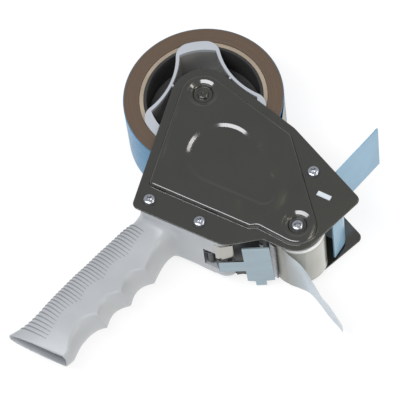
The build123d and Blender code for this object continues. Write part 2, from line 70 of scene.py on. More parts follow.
ROLLER = to_gun(joints["roller_spin"]["pos_m"]).to_2d()
FLAP_HINGE = to_gun(joints["flap_hinge"]["pos_m"]).to_2d()
HALF_TAPE = to_gun(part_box("tape_roll")[1]).z
ROLL_RADIUS = to_gun(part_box("tape_roll")[1]).x
CORE_OUTER = to_gun(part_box("tape_core")[1]).x
ROLLER_RADIUS = to_gun(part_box("roller_tube")[1]).x - ROLLER.x
INNER = to_gun(post_high).z
SHEET = 1.0
OUTER = INNER + SHEET
PANEL_TOP = to_gun(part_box("near_side_plate")[1]).z


# ------------------------------------------------------------------ shape helpers
def rounded(points, radii, arc=8, closed=True):
    """Points along a polyline whose corners are rounded by arcs of the given radii."""
    count = len(points)
    out = []
    for i, (point, radius) in enumerate(zip(points, radii)):
        here = Vector(point)
        if not closed and i in (0, count - 1):
            out.append(here)
            continue
        before = (here - Vector(points[i - 1])).normalized()
        after = (Vector(points[(i + 1) % count]) - here).normalized()
        turn = before.x * after.y - before.y * after.x
        side = 1 if turn > 0 else -1
        angle = acos(max(-1.0, min(1.0, before.dot(after))))
        start = here - before * (radius * tan(angle / 2))
        middle = start + Vector((-before.y, before.x)) * side * radius
        first = atan2(start.y - middle.y, start.x - middle.x)
        for k in range(arc + 1):
            a = first + side * angle * k / arc
            out.append(middle + Vector((cos(a), sin(a))) * radius)
    return out


def outline(corners, inset=0.0, arc=10):
    """Closed outline from (x, y, radius) corners, moved inwards by inset."""
    count = len(corners)
    points = [Vector(corner[:2]) for corner in corners]
    area = sum(points[i - 1].x * points[i].y - points[i - 1].y * points[i].x for i in range(count))
    side = 1 if area > 0 else -1
    moved = []
    radii = []
    for i, (x, y, radius) in enumerate(corners):
        before = (points[i] - points[i - 1]).normalized()
        after = (points[(i + 1) % count] - points[i]).normalized()
        turn = (before.x * after.y - before.y * after.x) * side
        moved.append(points[i] + (after - before) * (inset / turn))
        radii.append(max(0.05, radius - inset if turn > 0 else radius + inset))
    return rounded(moved, radii, arc)


def circle(centre, radius, count=64):
    return [Vector((centre[0] + radius * cos(2 * pi * k / count),
                    centre[1] + radius * sin(2 * pi * k / count))) for k in range(count)]


def add_loop(bm, points, z):
    return [bm.verts.new((p[0], p[1], z)) for p in points]


def bridge(bm, one, other, closed=True):
    count = len(one)
    for i in range(count if closed else count - 1):
        k = (i + 1) % count
        bm.faces.new((one[i], one[k], other[k], other[i]))


def fill(bm, *loops):
    """Flat faces between an outer loop and the loops inside it."""
    edges = []
    for loop in loops:
        for i, vert in enumerate(loop):
            pair = (loop[i - 1], vert)
            edges.append(bm.edges.get(pair) or bm.edges.new(pair))
    bmesh.ops.triangle_fill(bm, use_beauty=True, use_dissolve=False, edges=edges)


def wall(bm, shape, profile):
    """Loops of shape(inset) at each (inset, z) of a profile, joined. Returns the two end loops."""
    loops = [add_loop(bm, shape(inset), z) for inset, z in profile]
    for one, other in zip(loops, loops[1:]):
        bridge(bm, one, other)
    return loops[0], loops[-1]


def bend(points, radii, arc=6):
    """A profile with rounded corners, without its two end points."""
    return [(p.x, p.y) for p in rounded(points, radii, arc, closed=False)[1:-1]]


def finish_piece(name, bm, body, material, replaced=(), sharp=None):
    """Turns a bmesh in gun coordinates into a smooth-shaded piece that rides on a body."""
    bmesh.ops.recalc_face_normals(bm, faces=bm.faces)
    bmesh.ops.transform(bm, matrix=GUN, verts=bm.verts)
    mesh = bpy.data.meshes.new(name)
    bm.to_mesh(mesh)
    bm.free()
    mesh.shade_smooth()
    if sharp:
        mesh.set_sharp_from_angle(angle=radians(sharp))
    mesh.materials.append(material)
    piece = bpy.data.objects.new(name, mesh)
    bpy.context.scene.collection.objects.link(piece)
    weighted = piece.modifiers.new("weighted", "WEIGHTED_NORMAL")
    weighted.keep_sharp = True
    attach(piece, body)
    if replaced:
        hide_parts(*replaced)
    return piece


def lathe(bm, centre, profile, count=160):
    """Closed ring of revolution from (radius, z) points."""
    rings = [add_loop(bm, circle(centre, radius, count), z) for radius, z in profile]
    for i in range(len(rings)):
        bridge(bm, rings[i - 1], rings[i])


# ------------------------------------------------------------------ materials
def link(tree, source, target):
    tree.links.new(source, target)


def plain_material(name, colour, roughness, metallic=0.0, spread=0.12, grain=900.0, bump=0.02,
                   stretch=(1, 1, 1), coat=0.0, rough_spread=0.08, **sockets):
    """Principled surface with noise in its colour, roughness and relief."""
    material = bpy.data.materials.new(name)
    material.use_nodes = True
    tree = material.node_tree
    shader = tree.nodes["Principled BSDF"]
    shader.inputs["Metallic"].default_value = metallic
    shader.inputs["Coat Weight"].default_value = coat
    for socket, value in sockets.items():
        shader.inputs[socket.replace("_", " ")].default_value = value
    place = tree.nodes.new("ShaderNodeTexCoord")
    scale = tree.nodes.new("ShaderNodeMapping")
    scale.inputs["Scale"].default_value = stretch
    link(tree, place.outputs["Object"], scale.inputs["Vector"])
    broad = tree.nodes.new("ShaderNodeTexNoise")
    broad.inputs["Scale"].default_value = 45.0
    broad.inputs["Detail"].default_value = 4.0
    link(tree, scale.outputs["Vector"], broad.inputs["Vector"])
    fine = tree.nodes.new("ShaderNodeTexNoise")
    fine.inputs["Scale"].default_value = grain
    fine.inputs["Detail"].default_value = 3.0
    link(tree, scale.outputs["Vector"], fine.inputs["Vector"])
    tones = tree.nodes.new("ShaderNodeValToRGB")
    tones.color_ramp.elements[0].position = 0.3
    tones.color_ramp.elements[1].position = 0.7
    tones.color_ramp.elements[0].color = [c * (1 - spread) for c in colour] + [1]
    tones.color_ramp.elements[1].color = [min(1.0, c * (1 + spread)) for c in colour] + [1]
    link(tree, broad.outputs["Fac"], tones.inputs["Fac"])
    link(tree, tones.outputs["Color"], shader.inputs["Base Color"])
    rough = tree.nodes.new("ShaderNodeMapRange")
    rough.inputs["To Min"].default_value = max(0.0, roughness - rough_spread)
    rough.inputs["To Max"].default_value = min(1.0, roughness + rough_spread)
    link(tree, fine.outputs["Fac"], rough.inputs["Value"])
    link(tree, rough.outputs["Result"], shader.inputs["Roughness"])
    relief = tree.nodes.new("ShaderNodeBump")
    relief.inputs["Strength"].default_value = 1.0
    relief.inputs["Distance"].default_value = bump * MM
    link(tree, fine.outputs["Fac"], relief.inputs["Height"])
    link(tree, relief.outputs["Normal"], shader.inputs["Normal"])
    return material


def ring_material(name, dark, light, roughness, rings=2600.0, bump=0.05):
    """Edge of wound film: rings round the hub's axle, from fine one-dimensional noise."""
    material = bpy.data.materials.new(name)
    material.use_nodes = True
    tree = material.node_tree
    shader = tree.nodes["Principled BSDF"]
    shader.inputs["Roughness"].default_value = roughness
    place = tree.nodes.new("ShaderNodeTexCoord")
    centred = tree.nodes.new("ShaderNodeVectorMath")
    centred.operation = "SUBTRACT"
    centred.inputs[1].default_value = (CENTRE.x, CENTRE.y, 0)
    link(tree, place.outputs["Object"], centred.inputs[0])
    flat = tree.nodes.new("ShaderNodeVectorMath")
    flat.operation = "MULTIPLY"
    flat.inputs[1].default_value = (1, 1, 0)
    link(tree, centred.outputs["Vector"], flat.inputs[0])
    radius = tree.nodes.new("ShaderNodeVectorMath")
    radius.operation = "LENGTH"
    link(tree, flat.outputs["Vector"], radius.inputs[0])
    winding = tree.nodes.new("ShaderNodeTexNoise")
    winding.noise_dimensions = "1D"
    winding.inputs["Scale"].default_value = rings
    winding.inputs["Detail"].default_value = 5.0
    winding.inputs["Roughness"].default_value = 0.65
    link(tree, radius.outputs["Value"], winding.inputs["W"])
    tones = tree.nodes.new("ShaderNodeValToRGB")
    tones.color_ramp.elements[0].position = 0.25
    tones.color_ramp.elements[1].position = 0.75
    tones.color_ramp.elements[0].color = [*dark, 1]
    tones.color_ramp.elements[1].color = [*light, 1]
    link(tree, winding.outputs["Fac"], tones.inputs["Fac"])
    link(tree, tones.outputs["Color"], shader.inputs["Base Color"])
    relief = tree.nodes.new("ShaderNodeBump")
    relief.inputs["Strength"].default_value = 1.0
    relief.inputs["Distance"].default_value = bump * MM
    link(tree, winding.outputs["Fac"], relief.inputs["Height"])
    link(tree, relief.outputs["Normal"], shader.inputs["Normal"])
    return material


ENAMEL = plain_material("bronze_enamel", (0.018, 0.0185, 0.013), 0.13, spread=0.1, grain=1400,
                        bump=0.006, coat=0.5, Coat_Roughness=0.06, rough_spread=0.03, IOR=1.75)
CHROME = plain_material("chrome", (0.52, 0.54, 0.58), 0.18, metallic=1.0, spread=0.04, grain=1500,
                        bump=0.004, rough_spread=0.05)
ZINC = plain_material("zinc_steel", (0.50, 0.53, 0.55), 0.32, metallic=1.0, stretch=(1, 1, 12),
                      grain=700, bump=0.01)
# Steel whose colour has a blue tint: the tint is a painted reflection of bluish light.
GUARD_STEEL_BLUE_REFLECTION = plain_material("guard_steel", (0.33, 0.41, 0.455), 0.34, metallic=1.0,
                             stretch=(1, 1, 4), grain=900, bump=0.003, spread=0.05)
SPRING_STEEL = plain_material("spring_steel", (0.42, 0.41, 0.38), 0.16, metallic=1.0,
                              stretch=(4, 1, 1), grain=900, bump=0.003, spread=0.05)
BLADE_STEEL = plain_material("blade_steel", (0.45, 0.46, 0.47), 0.28, metallic=1.0,
                             stretch=(1, 1, 10), grain=900, bump=0.01)
HOLDER_ENAMEL = plain_material("holder_enamel", (0.03, 0.032, 0.034), 0.35, bump=0.01)
FIBRE = plain_material("friction_fibre", (0.22, 0.12, 0.07), 0.8, spread=0.3, bump=0.08)
GREY_PLASTIC = plain_material("grey_plastic", (0.28, 0.28, 0.28), 0.5)
HANDLE_PLASTIC = plain_material("handle_plastic", (0.41, 0.43, 0.445), 0.36, spread=0.05,
                                grain=2600, bump=0.012, Specular_IOR_Level=0.55)
# The ribs' darker colour is painted shade, standing in for the shadowed gaps between them.
RIB_SHADE_PLASTIC = plain_material("rib_painted_shade", (0.22, 0.23, 0.24), 0.45, spread=0.05,
                             grain=2600, bump=0.012)
DRUM_PLASTIC = plain_material("drum_plastic", (0.09, 0.09, 0.09), 0.30, spread=0.15, bump=0.01)
SLEEVE_PLASTIC = plain_material("sleeve_plastic", (0.045, 0.045, 0.045), 0.5, spread=0.15,
                                bump=0.01, Specular_IOR_Level=0.1)
WALL_PLASTIC = plain_material("drum_wall_plastic", (0.26, 0.26, 0.25), 0.24, spread=0.15,
                              bump=0.006)
WHITE_PLASTIC = plain_material("white_plastic", (0.44, 0.47, 0.51), 0.35, spread=0.03,
                               grain=1800, bump=0.008)
RIM_PLASTIC = plain_material("rim_plastic", (0.84, 0.86, 0.85), 0.3, spread=0.03, grain=1800,
                             bump=0.006)
CORE_BOARD = plain_material("core_board", (0.33, 0.275, 0.21), 0.85, spread=0.2, grain=1600,
                            bump=0.07, stretch=(1, 1, 0.3))
TAPE_EDGE = ring_material("tape_edge", (0.05, 0.031, 0.020), (0.175, 0.120, 0.083), 0.33)
# The blue of the roll's outer face is a painted reflection of bluish light.
TAPE_FACE_REFLECTION = plain_material("tape_face_painted_reflection", (0.04, 0.21, 0.39), 0.3, spread=0.1, grain=300,
                           bump=0.006, Specular_IOR_Level=0.2)
ROLLER_PLASTIC = plain_material("roller_plastic", (0.42, 0.42, 0.38), 0.16, spread=0.05,
                                grain=1200, bump=0.004, coat=0.5, Coat_Roughness=0.05)
FLAP_PLASTIC = plain_material("flap_plastic", (0.21, 0.39, 0.54), 0.22, spread=0.05, grain=1500,
                              bump=0.01, Subsurface_Weight=0.1, Subsurface_Scale=0.003)
CARRIER_PLASTIC = plain_material("carrier_plastic", (0.62, 0.68, 0.74), 0.35, spread=0.04)
TAPE_FILM = plain_material("tape_film", (0.50, 0.575, 0.63), 0.3, spread=0.03, grain=400,
                           bump=0.0, IOR=1.4, Specular_IOR_Level=0.25)
FADE = (-117.0, -127.0)   # heights between which the film turns from its painted shade to the colour of its tail
FILM_SHADE_ABOVE = (0.30, 0.30, 0.275, 1)     # its darker colour above them, painted shade


def shade_upper_film():
    """Paints the film above its free tail darker, in a colour near the roller's, as painted shade."""
    tree = TAPE_FILM.node_tree
    shader = tree.nodes["Principled BSDF"]
    plain = shader.inputs["Base Color"].links[0].from_socket
    place = tree.nodes.new("ShaderNodeTexCoord")
    parts = tree.nodes.new("ShaderNodeSeparateXYZ")
    link(tree, place.outputs["Object"], parts.inputs["Vector"])
    share = tree.nodes.new("ShaderNodeMapRange")
    share.inputs["From Min"].default_value = CENTRE.y + FADE[0] * MM
    share.inputs["From Max"].default_value = CENTRE.y + FADE[1] * MM
    link(tree, parts.outputs["Y"], share.inputs["Value"])
    blend = tree.nodes.new("ShaderNodeMix")
    blend.data_type = "RGBA"
    blend.inputs[6].default_value = FILM_SHADE_ABOVE
    link(tree, share.outputs["Result"], blend.inputs[0])
    link(tree, plain, blend.inputs[7])
    link(tree, blend.outputs[2], shader.inputs["Base Color"])


CAD_LOOKS = {
    "holder_screws": CHROME, "hub_bolt": ENAMEL,
    "hub_nut": ZINC, "spacer_post": ZINC, "roller_axle": ZINC, "pressure_washer": ZINC,
    "brake_spring": SPRING_STEEL, "flap_spring": SPRING_STEEL, "guard_pin": ZINC,
    "flap_pin": ZINC, "guard_spring": SPRING_STEEL,
    "blade": BLADE_STEEL, "blade_rivets": ZINC, "blade_holder": HOLDER_ENAMEL,
    "friction_washer": FIBRE, "hub_spacer": GREY_PLASTIC, "roller_spacers": GREY_PLASTIC,
    "hub_sleeve": SLEEVE_PLASTIC, "hub_disc": DRUM_PLASTIC, "hub_wall_near": WALL_PLASTIC,
    "hub_wall_far": WALL_PLASTIC, "hub_rim_near": WHITE_PLASTIC, "hub_rim_far": WHITE_PLASTIC,
    "roller_end_near": WHITE_PLASTIC, "roller_end_far": WHITE_PLASTIC,
    "roller_bushes": WHITE_PLASTIC, "flap_carrier": CARRIER_PLASTIC,
}
BEVELS = {"blade": 0.05, "brake_spring": 0, "flap_spring": 0,
          "guard_spring": 0.12, "hub_rim_near": 0.3, "hub_rim_far": 0.3}


def dress_cad_nodes():
    """Gives the CAD nodes that stay their materials and small bevels on their edges."""
    for name, look in CAD_LOOKS.items():
        node = frame["nodes"][name]
        node.data.materials.clear()
        node.data.materials.append(look)
        width = BEVELS.get(name, 0.2)
        if width:
            flat = node.modifiers.new("flatten", "DECIMATE")
            flat.decimate_type = "DISSOLVE"
            flat.angle_limit = radians(1.0)
            edge = node.modifiers.new("edges", "BEVEL")
            edge.width = width * MM
            edge.segments = 2
            edge.limit_method = "ANGLE"
            edge.angle_limit = radians(35)
            edge.use_clamp_overlap = True
            edge.harden_normals = False
        smooth = node.modifiers.new("weighted", "WEIGHTED_NORMAL")
        smooth.keep_sharp = False


# ------------------------------------------------------------------ side plates
PLATE_OUTLINE = [(-54.4, -72.8, 4.5), (-1.9, -109.6, 10), (23.3, -109.4, 3), (44.2, -124.4, 16),
                 (87.1, -92.0, 4.5), (53.7, -33.9, 14), (-5.8, 37.3, 20.5)]
PANEL_OUTLINE = [(-42.6, -59.6, 4), (15.6, -100.6, 3), (20.7, -100.9, 4), (61.3, -134.9, 13),
                 (51.1, -38.8, 6), (-4.4, 27.2, 15)]
FAR_PLATE_OUTLINE = [(-54.4, -66.2, 4.5), (-7.8, -101.6, 8), (24.5, -102.6, 3),
                     (44.2, -121.0, 15.5)] + PLATE_OUTLINE[4:]
FAR_PANEL_OUTLINE = PANEL_OUTLINE[:3] + [(60.7, -132.6, 13)] + PANEL_OUTLINE[4:]
EGG_BIG = ((5.8, -46.0), 22.4)
EGG_SMALL = ((28.0, -78.9), 8.2)
EGG_FLOOR = 1.2           # depth of the egg-shaped recess
EGG_SLOPE = 2.7           # width of the recess's sloping wall
HUB_DISH = 10.0
ROLLER_DISH = 9.5
DISH_SLOPE = 2.3          # width of the dishes' outer slope
DISH_SHELF = 1.25         # depth of the flat ring inside it
SLOT = (64.8, -85.4)
SLOT_SIZE = (9.4, 3.3)
SLOT_ANGLE = radians(-36.5)
PANEL_GRID = 2.2          # spacing of the points that shape the panel's sheet
PANEL_DIPS = (0.18, 0.0, 0.30)    # how far it is drawn down beside each recess
DIP_REACH = 16.0
SLOPE = tan(radians(28))  # how far a pressed wall leans in, per millimetre of its height


def egg(inset):
    """Outline of the recess: two circles and their outer tangents, moved inwards by inset."""
    (big, big_radius), (small, small_radius) = EGG_BIG, EGG_SMALL
    run = Vector(small) - Vector(big)
    along = atan2(run.y, run.x)
    half = acos((big_radius - small_radius) / run.length)
    points = []
    for k in range(41):
        a = along + half + (2 * pi - 2 * half) * k / 40
        points.append(Vector(big) + Vector((cos(a), sin(a))) * (big_radius - inset))
    for k in range(17):
        a = along - half + 2 * half * k / 16
        points.append(Vector(small) + Vector((cos(a), sin(a))) * (small_radius - inset))
    return points


def slot_outline(inset):
    wide, high = SLOT_SIZE
    corners = [(sx * wide / 2, sy * high / 2) for sx, sy in ((-1, -1), (1, -1), (1, 1), (-1, 1))]
    turned = []
    for x, y in corners:
        turned.append((SLOT[0] + x * cos(SLOT_ANGLE) - y * sin(SLOT_ANGLE),
                       SLOT[1] + x * sin(SLOT_ANGLE) + y * cos(SLOT_ANGLE), 0.9))
    return outline(turned, inset, 4)


def inside(point, loop):
    """Whether a point lies inside a closed outline."""
    within = False
    for a, b in zip(loop, loop[1:] + loop[:1]):
        if (a.y > point.y) != (b.y > point.y):
            if point.x < (b.x - a.x) * (point.y - a.y) / (b.y - a.y) + a.x:
                within = not within
    return within


def gap_to(point, loop):
    """Distance from a point to the nearest corner of a finely divided outline."""
    return min((point - corner).length for corner in loop)


def dished_fill(bm, outer, holes, top):
    """Fills a panel round its recesses, with the sheet drawn down a little towards them."""
    rims = [[vert.co.to_2d() for vert in loop] for loop in [outer] + holes]
    verts = [vert for loop in [outer] + holes for vert in loop]
    points = [point for rim in rims for point in rim]
    edges = []
    start = 0
    for rim in rims:
        edges += [(start + k, start + (k + 1) % len(rim)) for k in range(len(rim))]
        start += len(rim)
    low = [min(p[axis] for p in rims[0]) for axis in (0, 1)]
    high = [max(p[axis] for p in rims[0]) for axis in (0, 1)]
    columns = int((high[0] - low[0]) / PANEL_GRID)
    rows = int((high[1] - low[1]) / PANEL_GRID)
    for i in range(columns + 1):
        for j in range(rows + 1):
            stagger = PANEL_GRID / 2 * (j % 2)
            point = Vector((low[0] + i * PANEL_GRID + stagger, low[1] + j * PANEL_GRID))
            if not inside(point, rims[0]) or gap_to(point, rims[0]) < PANEL_GRID * 0.7:
                continue
            if any(inside(point, rim) or gap_to(point, rim) < PANEL_GRID * 0.7 for rim in rims[1:]):
                continue
            edge = gap_to(point, rims[0])
            dip = 0.0
            for rim, depth in zip(rims[1:], PANEL_DIPS):
                away = gap_to(point, rim)
                dip += depth * sin(pi * min(1.0, away / DIP_REACH)) ** 2
            dip *= min(1.0, edge / 5.0)
            points.append(point)
            verts.append(bm.verts.new((point.x, point.y, top - dip)))
    faces = delaunay_2d_cdt(points, edges, [], 0, 1e-6)[2]
    for face in faces:
        if max(face) >= len(verts):
            continue
        centre = sum((points[k] for k in face), Vector((0, 0))) / len(face)
        if inside(centre, rims[0]) and not any(inside(centre, rim) for rim in rims[1:]):
            bm.faces.new([verts[k] for k in face])


def plate_skin(bm, drop, panel_corners):
    """One face of the pressed sheet. A drop of 0 is the outer face, and 1 the inner one."""
    base = OUTER - drop * SHEET
    top = PANEL_TOP - drop * SHEET
    lean = drop * 0.75 * SHEET
    rise = top - base
    panel = bend([(lean - 3, base), (lean, base), (lean + rise * SLOPE, top), (lean + 6, top)],
                 [0, 0.6, 2.2, 0])
    foot, brow = wall(bm, lambda inset: outline(panel_corners, inset), panel)
    shelf = top - DISH_SHELF
    dish = bend([(-lean - 3, top), (-lean, top), (DISH_SLOPE - lean, shelf),
                 (DISH_SLOPE + 0.9 - lean, shelf), (DISH_SLOPE + 1.9 - lean, base), (7, base)],
                [0, 1.2, 1.2, 0.4, 0.4, 0], 6)
    hub_brim, hub_floor = wall(bm, lambda inset: circle((0, 0), HUB_DISH - inset), dish)
    roller_brim, roller_floor = wall(bm, lambda inset: circle(ROLLER, ROLLER_DISH - inset), dish)
    recess = bend([(-lean - 3, top), (-lean, top), (EGG_SLOPE - lean, top - EGG_FLOOR),
                   (7, top - EGG_FLOOR)], [0, 1.6, 2.2, 0], 6)
    egg_brim, egg_floor = wall(bm, egg, recess)
    if drop:
        fill(bm, brow, hub_brim, roller_brim, egg_brim)
    else:
        dished_fill(bm, brow, [hub_brim, roller_brim, egg_brim], top)
    for floor in (hub_floor, roller_floor, egg_floor):
        fill(bm, floor)
    return foot


def side_plate(name, side, plate_corners, panel_corners):
    """Pressed side plate in sheet steel. A side of 1 faces up, and -1 is mirrored."""
    bm = bmesh.new()
    edge = 0.3
    rim = bend([(3, INNER), (0, INNER), (0, OUTER), (3, OUTER)], [0, edge, edge, 0], 3)
    under_edge, upper_edge = wall(bm, lambda inset: outline(plate_corners, inset, 14), rim)
    slot_wall = bend([(-2, OUTER), (0, OUTER), (0, INNER), (-2, INNER)], [0, 0.2, 0.2, 0], 2)
    slot_top, slot_under = wall(bm, slot_outline, slot_wall)
    foot = plate_skin(bm, 0, panel_corners)
    fill(bm, upper_edge, foot, slot_top)
    foot = plate_skin(bm, 1, panel_corners)
    fill(bm, under_edge, foot, slot_under)
    bmesh.ops.scale(bm, vec=(1, 1, side), verts=bm.verts)
    finish_piece(f"{name}_plate_pressed", bm, "frame", ENAMEL,
                 [f"{name}_side_plate"])


# ------------------------------------------------------------------ screws and guard
SCREWS = [(-42.8, -70.0), (-14.0, -90.6), tuple(ROLLER), (60.7, -67.3)]
HEAD_RADIUS = 3.6
HEAD_EDGE = 0.6           # height of a head's upright edge
HEAD_HEIGHT = 2.0
CROSS_ARM = 2.3
CROSS_HALF = 0.5
CROSS_DEPTH = 1.5
# A thin ring under each head, painted dark as the shadow round its foot.
SHADOW_RING_RADIUS = 4.5
SHADOW_RING_HEIGHT = 0.25


def cross_outline(centre, arm, half, turn):
    """Outline of a cross: its twelve corners, turned about its centre."""
    points = []
    for quarter in range(4):
        for x, y in ((arm, -half), (arm, half), (half, half)):
            a = turn + quarter * pi / 2
            points.append(Vector((centre[0] + x * cos(a) - y * sin(a),
                                  centre[1] + x * sin(a) + y * cos(a))))
    return points


def screw_heads(name, side):
    """Round heads with a cross recess, each on a thin dark ring that is painted shadow under the
    head.
    """
    bm = bmesh.new()
    cut = bmesh.new()
    foot = OUTER + SHADOW_RING_HEIGHT
    top = OUTER + HEAD_HEIGHT
    for centre in SCREWS:
        rings = [add_loop(bm, circle(centre, HEAD_RADIUS), foot)]
        for k in range(11):
            a = pi / 2 * k / 11
            height = foot + HEAD_EDGE + (top - foot - HEAD_EDGE) * sin(a)
            rings.append(add_loop(bm, circle(centre, HEAD_RADIUS * cos(a)), height))
        for one, other in zip(rings, rings[1:]):
            bridge(bm, one, other)
        bm.faces.new(rings[0])
        bm.faces.new(rings[-1])
        turn = random.uniform(0, pi / 2)
        wide = add_loop(cut, cross_outline(centre, CROSS_ARM, CROSS_HALF, turn), top + 0.2)
        deep = add_loop(cut, cross_outline(centre, CROSS_ARM * 0.5, CROSS_HALF * 0.8, turn),
                        top - CROSS_DEPTH)
        bridge(cut, wide, deep)
        cut.faces.new(wide)
        cut.faces.new(deep)
    heads = temporary("heads", bm)
    cutter = temporary("crosses", cut)
    recess = heads.modifiers.new("recess", "BOOLEAN")
    recess.object = cutter
    recess.operation = "DIFFERENCE"
    recess.solver = "EXACT"
    bm = bmesh.new()
    bm.from_mesh(evaluated(heads))
    for helper in (heads, cutter):
        bpy.data.objects.remove(helper)
    for centre in SCREWS:
        lathe(bm, centre, [(2.0, OUTER), (SHADOW_RING_RADIUS, OUTER), (SHADOW_RING_RADIUS, foot - 0.02),
                           (2.0, foot - 0.02)], 64)
    bmesh.ops.scale(bm, vec=(1, 1, side), verts=bm.verts)
    piece = finish_piece(f"{name}_screw_heads", bm, "frame", CHROME,
                         [f"{name}_screws"], sharp=40)
    # The ring under each head takes the dark enamel: a painted shadow.
    piece.data.materials.append(HOLDER_ENAMEL)
    for polygon in piece.data.polygons:
        if abs(polygon.center.z - CENTRE.z) < (foot - 0.005) * MM:
            polygon.material_index = 1


GUARD_SKEW = 0.04         # how far the guard's face leans forward, per millimetre across
GUARD_DROP = 0.4          # it falls by this share of its lean, clear of the roller
GUARD_SETBACK = 0.8       # it stands this much nearer to the rear than the CAD's
GUARD_ROOT = (4.0, 10.0)  # between these the arm turns into the face
GUARD_SHADED_EYE = -6.0          # the eye inside the handle, behind this, is painted dark as shade
STOP_SHIFT = 3.6          # the stop tab sits this much nearer to the rear
STOP_SPAN = (10.9, 26.4)  # where the tab is, from rear to front
STOP_TOP = 2.1            # it starts this far inside the tape's far edge


def blade_guard():
    """A copy of the CAD's guard whose face leans forward towards its far end."""
    node = frame["nodes"]["blade_guard"]
    bm = bmesh.new()
    bm.from_mesh(node.data)
    bmesh.ops.transform(bm, matrix=GUN.inverted() @ node.matrix_world, verts=bm.verts)
    bmesh.ops.dissolve_limit(bm, angle_limit=radians(1), verts=bm.verts, edges=bm.edges)
    root, face = GUARD_ROOT
    for vert in bm.verts:
        share = max(0.0, min(1.0, (vert.co.x - root) / (face - root)))
        lean = share * GUARD_SKEW * (HALF_TAPE - vert.co.z)
        if vert.co.z < STOP_TOP - HALF_TAPE and STOP_SPAN[0] < vert.co.x < STOP_SPAN[1]:
            vert.co.x -= STOP_SHIFT
        vert.co.x += lean - share * GUARD_SETBACK
        vert.co.y -= lean * GUARD_DROP
    sheet = finish_piece("guard_sheet", bm, "guard", GUARD_STEEL_BLUE_REFLECTION,
                         ["blade_guard"], sharp=35)
    # The eye inside the handle takes the dark enamel, as painted shade.
    sheet.data.materials.append(HOLDER_ENAMEL)
    for polygon in sheet.data.polygons:
        if polygon.center.x < CENTRE.x + GUARD_SHADED_EYE * MM:
            polygon.material_index = 1


# ------------------------------------------------------------------ roll of tape
def tape_roll():
    """Roll with an uneven wound edge, and the film's face round it, whose blue is a painted
    reflection of bluish light.
    """
    edge = 0.35
    face = []
    steps = 46
    for k in range(steps + 1):
        radius = CORE_OUTER + 0.1 + (ROLL_RADIUS - edge - CORE_OUTER - 0.1) * k / steps
        face.append((radius, HALF_TAPE - random.uniform(0.0, 0.10)))
    bm = bmesh.new()
    profile = [(r, -z) for r, z in face] + [(ROLL_RADIUS, -HALF_TAPE + edge)]
    profile += [(ROLL_RADIUS, HALF_TAPE - edge)] + face[::-1]
    lathe(bm, (0, 0), profile, 256)
    roll = finish_piece("wound_tape", bm, "roll", TAPE_EDGE, ["tape_roll"], sharp=30)
    roll.data.materials.append(TAPE_FACE_REFLECTION)
    # The outer face takes the blue painted reflection.
    for polygon in roll.data.polygons:
        if (polygon.center.xy - CENTRE.xy).length > (ROLL_RADIUS - 0.3) * MM:
            polygon.material_index = 1


CORE_WALL = 2.8
CORE_SETBACK = 0.15       # the core ends this far inside the roll's faces
CORE_EDGE = 0.3


def paper_core():
    inner = CORE_OUTER - CORE_WALL
    top = HALF_TAPE - CORE_SETBACK
    shoulder = top - CORE_EDGE
    half = [(inner, shoulder), (inner + CORE_EDGE, top), (CORE_OUTER - CORE_EDGE, top),
            (CORE_OUTER, shoulder)]
    profile = [(r, -z) for r, z in half] + half[::-1]
    bm = bmesh.new()
    lathe(bm, (0, 0), profile, 200)
    finish_piece("paper_core", bm, "roll", CORE_BOARD, ["tape_core"], sharp=50)


ROLLER_RIM = 2.1          # width of the pale band at each end of the roller
ROLLER_WALL = 1.9
ROLLER_GROOVE = 0.25      # depth of the groove near each end


def roller():
    """Roller tube with softened ends and a shallow groove near each end."""
    half = to_gun(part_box("roller_tube")[1]).z
    bore = ROLLER_RADIUS - ROLLER_WALL
    groove = ROLLER_RADIUS - ROLLER_GROOVE
    side = [(bore, half - 0.4), (bore + 0.4, half), (ROLLER_RADIUS - 0.8, half),
            (ROLLER_RADIUS - 0.25, half - 0.25), (ROLLER_RADIUS, half - 0.8),
            (ROLLER_RADIUS, half - 2.0), (groove, half - 2.25), (groove, half - 2.7),
            (ROLLER_RADIUS, half - 2.95)]
    bm = bmesh.new()
    lathe(bm, ROLLER, side + [(r, -z) for r, z in side[::-1]], 128)
    sleeve = finish_piece("roller_sleeve", bm, "roller", ROLLER_PLASTIC,
                          ["roller_tube"], sharp=60)
    sleeve.data.materials.append(RIM_PLASTIC)
    for polygon in sleeve.data.polygons:
        if abs(polygon.center.z - CENTRE.z) > (half - ROLLER_RIM) * MM:
            polygon.material_index = 1


# ------------------------------------------------------------------ flap
FLAP_PATH = [(105.0, -41.2), (72.4, -70.2), (75.6, -93.5), (66.9, -104.2)]
FLAP_HALF = 22.0
KNUCKLES = ((5.5, 17.0), (-17.0, -5.5))
KNUCKLE_RADIUS = 2.6
KNUCKLE_BORE = 1.6
KNUCKLE_ROOT = (73.4, -72.4)


def offset_path(path, amount):
    """A path moved sideways by amount, to its left."""
    moved = []
    for i, point in enumerate(path):
        before = path[max(i - 1, 0)]
        after = path[min(i + 1, len(path) - 1)]
        ahead = (after - before).normalized()
        moved.append(point + Vector((-ahead.y, ahead.x)) * amount)
    return moved


